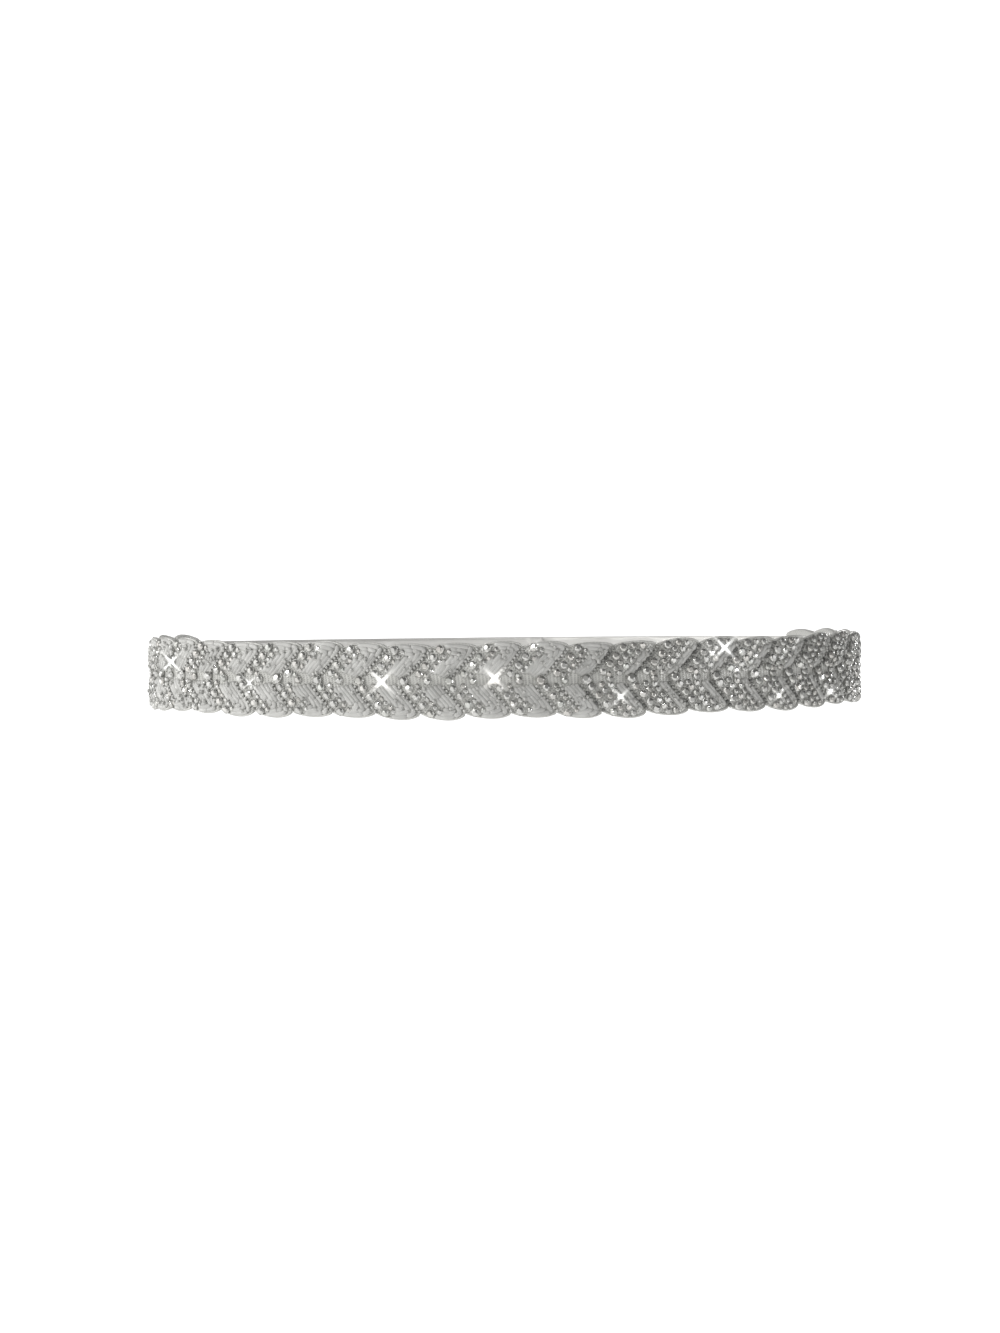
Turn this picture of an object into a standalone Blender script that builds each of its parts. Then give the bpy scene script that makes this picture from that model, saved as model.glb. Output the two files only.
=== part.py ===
"""A bridal sash as it is worn: a satin ribbon that goes once round the waist and hooks together at
centre back, with a raised, beaded herringbone applique sewn over its front and sides.

Units are metres. The origin is the middle of the waist opening, +Z is up, the centre front faces -Y
and +X is on the right of someone who looks at the front.

A place on the sash is given by three numbers: its length along the waist from centre front, its
distance out from the ribbon's inner face, and its height above the band's middle line.
"""

import math

import bmesh
import bpy
import numpy as np
from mathutils import Vector

MM = 0.001

# The waist that the sash closes round: half the breadth and half the depth of the ribbon's inner face.
WAIST_HALF_BREADTH = 130.9 * MM
WAIST_HALF_DEPTH = 89.9 * MM
FRONT_DIP = 2.4 * MM  # how far the waistline drops at centre front
WAIST_SAMPLES = 2880  # steps round the waist when its length is added up
WAIST_REACH = 1.2 * math.pi  # the angle that those steps go to each side of centre front

SEAM_GAP = 0.3 * MM  # between two pieces that are sewn together
SHARP_ANGLE = math.radians(50)  # edges bent more than this are shaded as corners

# The ribbon.
RIBBON_WIDTH = 22 * MM
RIBBON_THICKNESS = 1.0 * MM
RIBBON_EDGE = 0.3 * MM  # bevel along its edges
RIBBON_STEP = 6 * MM
OVERLAP = 32 * MM
OVERLAP_STEP = 2.5 * MM
OVERLAP_REACH = 32 * MM  # the stretch each side of centre back that takes the shorter steps

# The hooks and bars that close it, two of each, one above the other.
WIRE = 0.5 * MM  # thickness of a hook's plate and of a bar
FASTENER_HEIGHT = 5.2 * MM  # of their middles, above and below the ribbon's middle
HOOK_WIDTH = 5.4 * MM
HOOK_LENGTH = 10 * MM
HOOK_NOSE = 4.5 * MM  # from the middle of the fastener to the hook's folded end
TONGUE_LENGTH = 5.5 * MM
BAR_BREADTH = 1.4 * MM
BAR_FOOT = 1.5 * MM
BAR_LENGTH = 2 * (BAR_FOOT + SEAM_GAP) + HOOK_WIDTH
BAR_LIFT = SEAM_GAP + WIRE + SEAM_GAP  # the tongue lies under the bar
CLOSURE_GAP = BAR_LIFT + WIRE + SEAM_GAP + WIRE + SEAM_GAP  # between the ribbon's two ends

# How far the top end lies out from the waist, against the length past centre back. The end rises
# over the under end and the hooks, then lies down flat.
OVER_END = (
    # past centre back, out from the waist
    (-31 * MM, 0.0),
    (-17 * MM, RIBBON_THICKNESS + 0.6 * MM),
    (-7 * MM, RIBBON_THICKNESS + CLOSURE_GAP),
    (7 * MM, RIBBON_THICKNESS + CLOSURE_GAP),
    (OVERLAP / 2, RIBBON_THICKNESS + 0.5 * MM),
)

# The beaded applique: leaves in pairs, each pair a "<" that opens towards +X.
LEAF_PAIRS = 28
LEAF_PITCH = 16.2 * MM
BAND_HEIGHT = 27.2 * MM  # from tip to tip
BACKING = 1.2 * MM
LEAF_RELIEF = 2.8 * MM  # above the backing
RELIEF_POWER = 0.6  # under 1 makes a leaf full across, with a narrow groove beside it
LEAF_SLANT = 0.9  # length along the waist for each unit of height
LEAF_STAGGER = 4 * MM  # how far the upper leaves lie to the +X side of the lower ones
STAGGER_REACH = 0.2  # share of the half height over which the two rows cross
ROOT_RELIEF = 0.55  # share of the relief at the band's middle line
ROOT_REACH = 0.3  # share of the half height where a leaf is at its full relief
TIP_START = 0.5  # share of the half height where its tip starts to round over
TIP_FALL = 0.9
UPPER_SCALLOP = 1.7 * MM  # depth of the notches between the tips
LOWER_SCALLOP = 2.2 * MM
TIP_VARIATION = 0.45 * MM  # the tips aren't all equally long
GOLDEN_ANGLE = math.pi * (3 - math.sqrt(5))
LEAF_PHASES = (0.0, 0.1, 0.28, 0.5, 0.72, 0.9)  # places of the columns across one leaf
OUTER_ROWS = (0.0, 0.12, 0.3, 0.5, 0.7, 0.86, 0.96)  # shares of the half height
INNER_ROWS = (-0.9, -0.45, 0.0, 0.45, 0.9)
RIM_DEPTH = 0.7 * MM  # the applique's outline lies this far out from its inner face


def clear_scene():
    for obj in list(bpy.data.objects):
        bpy.data.objects.remove(obj, do_unlink=True)


def make_material(name, colour, roughness, metallic):
    material = bpy.data.materials.new(name)
    material.use_nodes = True
    shader = material.node_tree.nodes["Principled BSDF"]
    shader.inputs["Base Color"].default_value = (*colour, 1.0)
    shader.inputs["Roughness"].default_value = roughness
    shader.inputs["Metallic"].default_value = metallic
    return material


def add_object(name, mesh, material):
    obj = bpy.data.objects.new(name, mesh)
    bpy.context.collection.objects.link(obj)
    mesh.materials.append(material)
    return obj


# The waist's outline, an oval. An angle of 0 is centre front and a half turn is centre back.


def outward(angle):
    across = math.sin(angle) / WAIST_HALF_BREADTH
    ahead = -math.cos(angle) / WAIST_HALF_DEPTH
    return Vector((across, ahead, 0.0)).normalized()


def outline_point(angle, out):
    on_waist = Vector(
        (WAIST_HALF_BREADTH * math.sin(angle), -WAIST_HALF_DEPTH * math.cos(angle), 0.0)
    )
    return on_waist + outward(angle) * out


def length_table(out):
    """Angles round the waist, and the length from centre front to each on the line that far out.

    It runs a little past centre back both ways, for the overlap.
    """
    angles = np.linspace(-WAIST_REACH, WAIST_REACH, WAIST_SAMPLES + 1)
    points = np.array([outline_point(angle, out) for angle in angles])
    steps = np.linalg.norm(np.diff(points, axis=0), axis=1)
    lengths = np.concatenate([[0.0], np.cumsum(steps)])
    return angles, lengths - np.interp(0.0, angles, lengths)


def place(length, out, height, table):
    """The point at this length along the waist, distance out and height."""
    angle = np.interp(length, table[1], table[0])
    dip = FRONT_DIP * max(math.cos(angle), 0.0) ** 2
    return outline_point(angle, out) + Vector((0.0, 0.0, height - dip))


def close_end(builder, ring, side_count):
    """Fills a bent ring with triangles, from its first side_count points to the rest, which run back."""
    side = ring[:side_count]
    other = ring[: side_count - 1 : -1]
    i = j = 0
    while i + 1 < len(side) or j + 1 < len(other):
        if i * (len(other) - 1) <= j * (len(side) - 1):
            builder.faces.new((side[i], side[i + 1], other[j]))
            i += 1
        else:
            builder.faces.new((side[i], other[j + 1], other[j]))
            j += 1


def loft(name, sections, material, side_count=None):
    """A closed body through rings of points. Its ends are flat, or bent where side_count is given."""
    builder = bmesh.new()
    rings = [[builder.verts.new(point) for point in section] for section in sections]
    for ring, following in zip(rings, rings[1:]):
        for i in range(len(ring)):
            j = (i + 1) % len(ring)
            builder.faces.new((ring[i], ring[j], following[j], following[i]))
    for ring in (rings[0], rings[-1]):
        if side_count:
            close_end(builder, ring, side_count)
        else:
            builder.faces.new(ring)
    bmesh.ops.recalc_face_normals(builder, faces=builder.faces)
    mesh = bpy.data.meshes.new(name)
    builder.to_mesh(mesh)
    builder.free()
    mesh.shade_smooth()
    mesh.set_sharp_from_angle(angle=SHARP_ANGLE)
    return add_object(name, mesh, material)


def smooth_between(position, table):
    """The table's second column at this value of its first, eased from one row to the next."""
    if position <= table[0][0]:
        return table[0][1]
    for (start, low), (end, high) in zip(table, table[1:]):
        if position <= end:
            share = (position - start) / (end - start)
            return low + (high - low) * share * share * (3 - 2 * share)
    return table[-1][1]


# Ribbon


def ribbon_lengths(half_waist):
    """Where the ribbon's sections stand, closer together near centre back."""
    reach = half_waist - OVERLAP_REACH
    end = half_waist + OVERLAP / 2
    front = np.linspace(-reach, reach, 1 + round(2 * reach / RIBBON_STEP))
    back = np.linspace(reach, end, 1 + round((end - reach) / OVERLAP_STEP))
    return np.concatenate([-back[:0:-1], front, back[1:]])


def ribbon_section(length, out, table):
    half = RIBBON_WIDTH / 2
    edge = RIBBON_EDGE
    corners = (
        # out, height
        (0.0, edge - half),
        (edge, -half),
        (RIBBON_THICKNESS - edge, -half),
        (RIBBON_THICKNESS, edge - half),
        (RIBBON_THICKNESS, half - edge),
        (RIBBON_THICKNESS - edge, half),
        (edge, half),
        (0.0, half - edge),
    )
    return [place(length, out + depth, height, table) for depth, height in corners]


def make_ribbon(material):
    table = length_table(0.0)
    half_waist = np.interp(math.pi, table[0], table[1])
    sections = []
    for length in ribbon_lengths(half_waist):
        out = smooth_between(length - half_waist, OVER_END)
        sections.append(ribbon_section(length, out, table))
    return loft("satin_ribbon", sections, material)


# Beaded applique


def leaf_relief(phase, reach):
    """Height of a leaf above the backing.

    phase goes from 0 to 1 across the leaf, and reach from 0 at the band's middle to 1 at the tip.
    """
    across = math.sin(math.pi * phase) ** RELIEF_POWER
    root = min(1.0, ROOT_RELIEF + (1 - ROOT_RELIEF) * reach / ROOT_REACH)
    past_start = max(0.0, (reach - TIP_START) / (1 - TIP_START))
    return LEAF_RELIEF * across * root * math.sqrt(1 - TIP_FALL * past_start**2)


def half_height(phase, pair, side):
    """From the middle line to the applique's edge, on the upper side (1) or the lower one (-1)."""
    scallop = UPPER_SCALLOP if side > 0 else LOWER_SCALLOP
    leaf = 2 * pair + (side > 0)
    variation = TIP_VARIATION * math.sin(GOLDEN_ANGLE * leaf)
    across = math.sin(math.pi * phase) ** RELIEF_POWER
    return BAND_HEIGHT / 2 - scallop + (scallop + variation) * across


def applique_point(column_length, share, out, pair, phase, table):
    """A point on one column, which slants away from the middle line with the leaves.

    share goes from -1 at the lower edge to 1 at the upper one.
    """
    height = share * half_height(phase, pair, math.copysign(1, share))
    crossing = max(-1.0, min(1.0, share / STAGGER_REACH))
    length = column_length + LEAF_SLANT * abs(height) + LEAF_STAGGER / 2 * crossing
    return place(length, out, height, table)


def applique_column(pair, phase, table):
    inner = RIBBON_THICKNESS + SEAM_GAP
    slanted = LEAF_SLANT * BAND_HEIGHT / 2  # how far the tips lie past the middle line
    first = -(LEAF_PAIRS * LEAF_PITCH + slanted) / 2
    column_length = first + (pair + phase) * LEAF_PITCH
    lower = [-share for share in reversed(OUTER_ROWS[1:])]
    outer_face = [
        (share, inner + BACKING + leaf_relief(phase, abs(share)))
        for share in (*lower, *OUTER_ROWS)
    ]
    inner_face = [(share, inner) for share in reversed(INNER_ROWS)]
    rim = inner + RIM_DEPTH
    around = [(-1.0, rim), *outer_face, (1.0, rim), *inner_face]
    return [
        applique_point(column_length, share, out, pair, phase, table)
        for share, out in around
    ]


def make_applique(material):
    table = length_table(RIBBON_THICKNESS + SEAM_GAP + BACKING)
    columns = [
        applique_column(pair, phase, table)
        for pair in range(LEAF_PAIRS)
        for phase in LEAF_PHASES
    ]
    columns.append(applique_column(LEAF_PAIRS, 0.0, table))
    outer_count = len(columns[0]) - len(INNER_ROWS)
    return loft("beaded_applique", columns, material, side_count=outer_count)


# Hooks and bars. They lie flat at centre back, so they are drawn in place.


def make_hook(name, height, material):
    """A flat strip on the ribbon's top end, with its end folded back under the bar."""
    under = WAIST_HALF_DEPTH + RIBBON_THICKNESS
    tongue = under + SEAM_GAP
    plate = under + BAR_LIFT + WIRE + SEAM_GAP
    nose = -HOOK_NOSE
    profile = (
        # x, y
        (nose, tongue),
        (nose + TONGUE_LENGTH, tongue),
        (nose + TONGUE_LENGTH, tongue + WIRE),
        (nose + WIRE, tongue + WIRE),
        (nose + WIRE, plate),
        (nose + HOOK_LENGTH, plate),
        (nose + HOOK_LENGTH, plate + WIRE),
        (nose, plate + WIRE),
    )
    levels = (height - HOOK_WIDTH / 2, height + HOOK_WIDTH / 2)
    return loft(name, [[(x, y, z) for x, y in profile] for z in levels], material)


def make_bar(name, height, material):
    """A low bridge on the ribbon's under end, with the hook's tongue passed through it."""
    base = WAIST_HALF_DEPTH + RIBBON_THICKNESS + SEAM_GAP
    bar = base - SEAM_GAP + BAR_LIFT
    half = BAR_LENGTH / 2
    foot = half - BAR_FOOT
    profile = (
        # y, z from the middle of the bar
        (base, -half),
        (bar + WIRE, -half),
        (bar + WIRE, half),
        (base, half),
        (base, foot),
        (bar, foot),
        (bar, -foot),
        (base, -foot),
    )
    start = -HOOK_NOSE + WIRE + SEAM_GAP
    ends = (start, start + BAR_BREADTH)
    sections = [[(x, y, height + z) for y, z in profile] for x in ends]
    return loft(name, sections, material)


def main():
    clear_scene()
    satin = make_material("white_satin", (0.86, 0.85, 0.82), 0.35, 0.0)
    beadwork = make_material("silver_beadwork", (0.62, 0.62, 0.60), 0.3, 0.6)
    steel = make_material("nickel_plate", (0.7, 0.69, 0.66), 0.3, 1.0)
    make_ribbon(satin)
    make_applique(beadwork)
    for place_name, side in (("upper", 1), ("lower", -1)):
        make_hook("hook_" + place_name, side * FASTENER_HEIGHT, steel)
        make_bar("bar_" + place_name, side * FASTENER_HEIGHT, steel)


main()
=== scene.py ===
"""Looks of the bridal sash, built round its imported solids.

Units are metres, in the solids' own frame: +Z is up and centre front faces -Y. A place on the sash is
its length along the waist from centre front, its distance out from the ribbon's inner face and its
height above the band's middle line. A place on a leaf of beadwork is its phase, 0 to 1 across the
leaf, and its height from the middle line.
"""

import math
import random
from collections import namedtuple

import bpy
import numpy as np
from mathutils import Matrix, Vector


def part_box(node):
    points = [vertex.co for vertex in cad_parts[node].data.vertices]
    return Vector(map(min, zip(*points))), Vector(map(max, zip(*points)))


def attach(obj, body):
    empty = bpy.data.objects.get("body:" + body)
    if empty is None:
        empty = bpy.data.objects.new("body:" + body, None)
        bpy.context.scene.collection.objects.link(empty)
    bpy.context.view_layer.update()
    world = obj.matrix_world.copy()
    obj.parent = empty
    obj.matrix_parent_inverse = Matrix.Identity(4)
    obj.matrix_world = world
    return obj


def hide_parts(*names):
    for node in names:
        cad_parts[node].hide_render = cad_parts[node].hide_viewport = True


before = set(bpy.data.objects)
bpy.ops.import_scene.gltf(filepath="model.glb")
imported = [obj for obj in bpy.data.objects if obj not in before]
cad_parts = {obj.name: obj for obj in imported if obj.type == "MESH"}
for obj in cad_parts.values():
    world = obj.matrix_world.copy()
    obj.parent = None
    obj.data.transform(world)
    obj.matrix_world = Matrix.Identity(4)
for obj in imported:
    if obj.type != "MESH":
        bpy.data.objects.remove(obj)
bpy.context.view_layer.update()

MM = 0.001
GOLDEN_ANGLE = math.pi * (3 - math.sqrt(5))

# Ribbon and waist. The waist's breadth and depth are the solid ribbon's own.
RIBBON_WIDTH = 22 * MM
RIBBON_THICKNESS = 1.0 * MM
SEAM_GAP = 0.3 * MM
ribbon_low, ribbon_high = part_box("satin_ribbon")
HALF_BREADTH = (ribbon_high.x - ribbon_low.x) / 2 - RIBBON_THICKNESS
HALF_DEPTH = -ribbon_low.y - RIBBON_THICKNESS
FRONT_DIP = 2.4 * MM
OVERLAP = 32 * MM
CLOSURE_GAP = 2.7 * MM
OVER_END = (
    # length past centre back, distance out
    (-31 * MM, 0.0),
    (-17 * MM, RIBBON_THICKNESS + 0.6 * MM),
    (-7 * MM, RIBBON_THICKNESS + CLOSURE_GAP),
    (7 * MM, RIBBON_THICKNESS + CLOSURE_GAP),
    (OVERLAP / 2, RIBBON_THICKNESS + 0.5 * MM),
)

# Beaded applique, the same leaves as in the solids. Reach is a share of the way to a leaf's tip.
LEAF_PAIRS = 28
LEAF_PITCH = 16.2 * MM
BAND_HEIGHT = 27.2 * MM
BACKING = 1.2 * MM
LEAF_RELIEF = 2.8 * MM
PADDING = 0.55  # the share of the leaf's relief that is padded net, under the beads
RELIEF_POWER = 0.6
LEAF_SLANT = 0.9
LEAF_STAGGER = 4 * MM
STAGGER_REACH = 0.2
ROOT_RELIEF = 0.55
ROOT_REACH = 0.3
TIP_START = 0.5
TIP_FALL = 0.9
UPPER_SCALLOP = 1.7 * MM
LOWER_SCALLOP = 2.2 * MM
TIP_VARIATION = 0.45 * MM
APPLIQUE_INNER = RIBBON_THICKNESS + SEAM_GAP
ARM = math.hypot(1, LEAF_SLANT)  # length along a leaf for each unit of height
LEAF_WIDTH = LEAF_PITCH / ARM  # straight across it
FIRST_LEAF = -(LEAF_PAIRS * LEAF_PITCH + LEAF_SLANT * BAND_HEIGHT / 2) / 2  # length at its root

ANGLES = np.linspace(-1.2 * math.pi, 1.2 * math.pi, 5761)  # both ways round, to past centre back
UPPER, LOWER = 1, -1


# Waist and leaves


def unit(vectors):
    return vectors / np.linalg.norm(vectors, axis=-1, keepdims=True)


def outline(angle, out):
    """Points on the waist's oval, moved this far out from it."""
    sine, cosine = np.sin(angle), np.cos(angle)
    normal = unit(np.stack([sine / HALF_BREADTH, -cosine / HALF_DEPTH], -1))
    point = np.stack([HALF_BREADTH * sine, -HALF_DEPTH * cosine], -1)
    return point + normal * np.asarray(out)[..., None]


def lengths_between(points):
    """The length along a line of points, from its first one to each."""
    steps = np.linalg.norm(np.diff(points, axis=0), axis=1)
    return np.concatenate([[0.0], np.cumsum(steps)])


def length_line(out):
    """The length from centre front to each of ANGLES, along the line this far out."""
    lengths = lengths_between(outline(ANGLES, out))
    return lengths - np.interp(0.0, ANGLES, lengths)


RIBBON_LINE = length_line(0.0)
APPLIQUE_LINE = length_line(APPLIQUE_INNER + BACKING)
HALF_WAIST = float(np.interp(math.pi, ANGLES, RIBBON_LINE))


def place(length, out, height, line):
    """Points in space. The first three may be arrays, and line is what the length is measured on."""
    length, out, height = np.broadcast_arrays(length, out, height)
    angle = np.interp(length, line, ANGLES)
    dip = FRONT_DIP * np.maximum(np.cos(angle), 0) ** 2
    flat = outline(angle, out)
    return np.concatenate([flat, (height - dip)[..., None]], -1)


def fullness(phase):
    return np.sin(math.pi * np.clip(phase, 0, 1)) ** RELIEF_POWER


def leaf_relief(phase, reach):
    root = np.minimum(1, ROOT_RELIEF + (1 - ROOT_RELIEF) * reach / ROOT_REACH)
    past = np.clip((reach - TIP_START) / (1 - TIP_START), 0, 1)
    return LEAF_RELIEF * fullness(phase) * root * np.sqrt(1 - TIP_FALL * past**2)


def half_height(phase, pair, side):
    scallop = UPPER_SCALLOP if side == UPPER else LOWER_SCALLOP
    variation = TIP_VARIATION * math.sin(GOLDEN_ANGLE * (2 * pair + (side == UPPER)))
    return BAND_HEIGHT / 2 - scallop + (scallop + variation) * fullness(phase)


def leaf_point(pair, side, phase, height, lift=0.0):
    """A point on the padded net, or lift above it, this high from the middle line towards the tip."""
    reach = height / half_height(phase, pair, side)
    crossing = np.clip(side * reach / STAGGER_REACH, -1, 1)
    length = FIRST_LEAF + (pair + phase) * LEAF_PITCH
    length = length + LEAF_SLANT * height + LEAF_STAGGER / 2 * crossing
    out = APPLIQUE_INNER + BACKING + PADDING * leaf_relief(phase, reach) + lift
    return place(length, out, side * height, APPLIQUE_LINE)


def leaf_columns(count):
    """(pair, phase) of each column of points on the applique, with count columns to a leaf."""
    phases = np.linspace(0, 1, count, endpoint=False)
    return [(pair, phase) for pair in range(LEAF_PAIRS) for phase in phases] + [(LEAF_PAIRS, 0.0)]


def seat(pair, side, phase, height, lift=0.0):
    """Where a bead is sewn, in four rows: its place, the way along the leaf, across it and out."""
    step = 0.2 * MM
    here = leaf_point(pair, side, phase, height, lift)
    along = leaf_point(pair, side, phase, height + step, lift) - here
    across = leaf_point(pair, side, phase + step / LEAF_PITCH, height, lift) - here
    out = unit(np.cross(along, across)) * -side
    along = unit(along)
    return np.array([here, along, np.cross(out, along), out])


def turned(seat_rows, roll, tilt, lean):
    """The seat turned about its way out by roll, then tipped by tilt and lean, in radians."""
    here, along, across, out = seat_rows
    cosine, sine = math.cos(roll), math.sin(roll)
    along, across = along * cosine + across * sine, across * cosine - along * sine
    out = unit(out + along * math.tan(tilt) + across * math.tan(lean))
    along = unit(along - out * np.dot(along, out))
    return np.array([here, along, np.cross(out, along), out])


# Shapes. Each is (points, faces). A single bead has its own +Z out of the cloth.


def add_shape(points, faces, more_points, more_faces):
    """Adds a shape to the points and faces of a larger one."""
    faces.extend(tuple(len(points) + n for n in face) for face in more_faces)
    points.extend(more_points)


def grid_faces(rows, columns, closed=True, looped=False):
    """Quads between rows of points. closed joins a row's ends, looped the last row to the first."""
    faces = []
    for i in range(rows if looped else rows - 1):
        here, above = i * columns, (i + 1) % rows * columns
        for j in range(columns if closed else columns - 1):
            k = (j + 1) % columns
            faces.append((here + j, here + k, above + k, above + j))
    return faces


def tube_faces(rows, columns):
    """Quads between closed rows of points, and a face across each end."""
    last = (rows - 1) * columns
    ends = [tuple(range(columns))[::-1], tuple(range(last, last + columns))]
    return grid_faces(rows, columns) + ends


def ring(radius, height, sides, turn=0.0):
    """Points round the +Z axis. turn is a share of a side."""
    angles = [math.tau * (i + turn) / sides for i in range(sides)]
    return [(radius * math.cos(angle), radius * math.sin(angle), height) for angle in angles]


GIRDLE = 0.3  # height of a stone's widest place, as a share of its size
CROWN = 0.24  # height of its table above that, as a share of its size
STONE_BACK = 0.4  # height of the middle of its back, as a share of its girdle's
STONE_RINGS = (
    # share of the radius, share of the crown, turn, sides
    (0.5, 1, 0, 8),
    (0.78, 0.6, 0.5, 8),
    (1, 0, 0, 16),
)


def stone_shape(size):
    """A cut stone: its table, star, kite and girdle facets, in this order, and a shallow back."""
    radius, girdle, crown = size / 2, GIRDLE * size, CROWN * size
    points = [(0, 0, STONE_BACK * girdle)]
    for share, rise, turn, sides in STONE_RINGS:
        points.extend(ring(share * radius, girdle + rise * crown, sides, turn))
    table, middle, edge = 1, 9, 17
    faces = [tuple(range(table, table + 8))]
    for i in range(8):
        j = (i + 1) % 8
        first, second, third = (edge + (2 * i + n) % 16 for n in range(3))
        faces += [
            (table + i, middle + i, table + j),
            (table + j, middle + i, middle + j),
            (middle + i, first, second),
            (middle + i, second, third),
            (middle + i, third, middle + j),
            (0, second, first),
            (0, third, second),
        ]
    return points, faces


CUP_SIDES = 12
CUP_PROFILE = (
    # share of the stone's radius, share of its girdle, from the bottom up and back down to the middle
    (0, 0), (0.72, 0), (1.06, 0.55), (1.1, 1.05), (1.01, 1.05), (0, 0.45),
)
CLAWS = 4
CLAW_CORNERS = (
    # share of the radius, of the girdle, of the crown, half the claw's width as a share of the radius
    (1.0, 0.9, 0, 0.17),
    (1.15, 0.9, 0, 0.17),
    (0.86, 1, 0.62, 0.09),
    (0.78, 1, 0.5, 0.09),
)


def claw_points(size, angle):
    """The eight corners of one claw, from the cup's wall over the stone's edge."""
    radius = size / 2
    for turn in (1, -1):
        for share, girdle, crown, half_width in CLAW_CORNERS:
            x, y = share * radius, turn * half_width * radius
            yield (
                x * math.cos(angle) - y * math.sin(angle),
                x * math.sin(angle) + y * math.cos(angle),
                (girdle * GIRDLE + crown * CROWN) * size,
            )


def cup_shape(size):
    """A metal cup, closed below and inside, with four claws folded over the stone's edge."""
    profile = [(share * size / 2, rise * GIRDLE * size) for share, rise in CUP_PROFILE]
    points = [(0, 0, profile[0][1]), (0, 0, profile[-1][1])]
    walls = [point for radius, height in profile[1:-1] for point in ring(radius, height, CUP_SIDES)]
    faces = []
    last = len(walls) + 2 - CUP_SIDES
    for i in range(CUP_SIDES):
        j = (i + 1) % CUP_SIDES
        faces += [(0, 2 + j, 2 + i), (1, last + i, last + j)]
    add_shape(points, faces, walls, grid_faces(len(profile) - 2, CUP_SIDES))
    for i in range(CLAWS):
        angle = math.tau * (i + 0.5) / CLAWS
        add_shape(points, faces, claw_points(size, angle), tube_faces(2, len(CLAW_CORNERS)))
    return points, faces


SEED_SIDES = 8
SEED_PROFILE = (
    # distance from the thread, distance along it, both as shares of the bead's radius
    (0.32, -0.432), (0.72, -0.72), (1, -0.324), (1, 0.324), (0.72, 0.72), (0.32, 0.432),
)


def seed_shape(size):
    """A round bead with its hole along the thread, which runs along X. It lies on the cloth."""
    radius = size / 2
    points = []
    for away, along in SEED_PROFILE:
        points.extend((along * radius, y, z + radius) for y, z, _ in ring(away * radius, 0, SEED_SIDES))
    return points, grid_faces(len(SEED_PROFILE), SEED_SIDES, looped=True)


def swept(path, out_radii, side_radii, sides, looped=False):
    """A tube along a path, and its places on flat cloth.

    At each point of the path it has one radius out from the waist and one beside the path.
    """
    path = np.array(path)
    if looped:
        ahead = unit(np.roll(path, -1, axis=0) - np.roll(path, 1, axis=0))
    else:
        ahead = unit(np.gradient(path, axis=0))
    x, y, _ = path.T
    out = np.stack([x / HALF_BREADTH**2, y / HALF_DEPTH**2, 0 * x], -1)
    out = unit(out - ahead * np.sum(out * ahead, axis=1, keepdims=True))
    beside = np.cross(ahead, out)
    turns = np.arange(sides) * math.tau / sides
    out = out * np.reshape(out_radii, (-1, 1))
    beside = beside * np.reshape(side_radii, (-1, 1))
    tube = out[:, None] * np.cos(turns)[:, None] + beside[:, None] * np.sin(turns)[:, None]
    points = (path[:, None] + tube).reshape(-1, 3)
    faces = grid_faces(len(path), sides, looped=True) if looped else tube_faces(len(path), sides)
    flat = np.stack([np.repeat(lengths_between(path), sides), np.tile(turns * MM, len(path))], -1)
    return points, faces, flat


# Making pieces


def new_object(name, data):
    obj = bpy.data.objects.new(name, data)
    bpy.context.scene.collection.objects.link(obj)
    return obj


def mesh_object(name, points, faces, material, smooth=True):
    mesh = bpy.data.meshes.new(name)
    mesh.from_pydata([tuple(p) for p in points], [], faces)
    mesh.validate()
    mesh.materials.append(material)
    if smooth:
        mesh.shade_smooth()
    return new_object(name, mesh)


def mesh_piece(name, points, faces, material, smooth=True):
    """A piece of the sash, on its only body."""
    obj = mesh_object(name, points, faces, material, smooth)
    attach(obj, "root")
    return obj


def number_faces(obj, name, values):
    """Gives each face a number that its material reads."""
    layer = obj.data.attributes.new(name, "FLOAT", "FACE")
    layer.data.foreach_set("value", np.asarray(values, np.float32))


def sewn_piece(name, shape, spots, material, smooth_angle=None):
    """One mesh with a copy of a bead at each spot, which is a seat and a scale.

    Each face gets a random number, its tone, and each bead one, its shade. On stones the tones are
    later replaced with painted shade and painted highlights.
    """
    base, faces = np.array(shape[0]), shape[1]
    seats, scales = map(np.array, zip(*spots))
    points = base * scales[:, None, None] @ seats[:, 1:] + seats[:, :1]
    joined = [tuple(n + i * len(base) for n in face) for i in range(len(seats)) for face in faces]
    smooth = smooth_angle is not None
    obj = mesh_piece(name, points.reshape(-1, 3), joined, material, smooth)
    draw = np.random.default_rng(sum(map(ord, name)))
    number_faces(obj, "tone", draw.random(len(joined)))
    number_faces(obj, "shade", np.repeat(draw.random(len(seats)), len(faces)))
    if smooth:
        obj.data.set_sharp_from_angle(angle=smooth_angle)
    return obj


def set_uv(obj, coordinates):
    """Gives each vertex a place on the flat cloth, in metres."""
    layer = obj.data.uv_layers.new(name="cloth")
    corners = np.empty(len(obj.data.loops), np.int32)
    obj.data.loops.foreach_get("vertex_index", corners)
    layer.data.foreach_set("uv", np.asarray(coordinates, np.float32)[corners].ravel())


# Materials


class Nodes:
    """Short ways to add and join the nodes of a material or a world."""

    def __init__(self, owner):
        owner.use_nodes = True
        self.tree = owner.node_tree

    def add(self, kind, inputs=None, **settings):
        node = self.tree.nodes.new("ShaderNode" + kind)
        for key, value in settings.items():
            setattr(node, key, value)
        for key, value in (inputs or {}).items():
            if isinstance(value, bpy.types.NodeSocket):
                self.tree.links.new(value, node.inputs[key])
            else:
                node.inputs[key].default_value = value
        return node

    def math(self, operation, a, b):
        return self.add("Math", {0: a, 1: b}, operation=operation).outputs["Value"]


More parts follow.
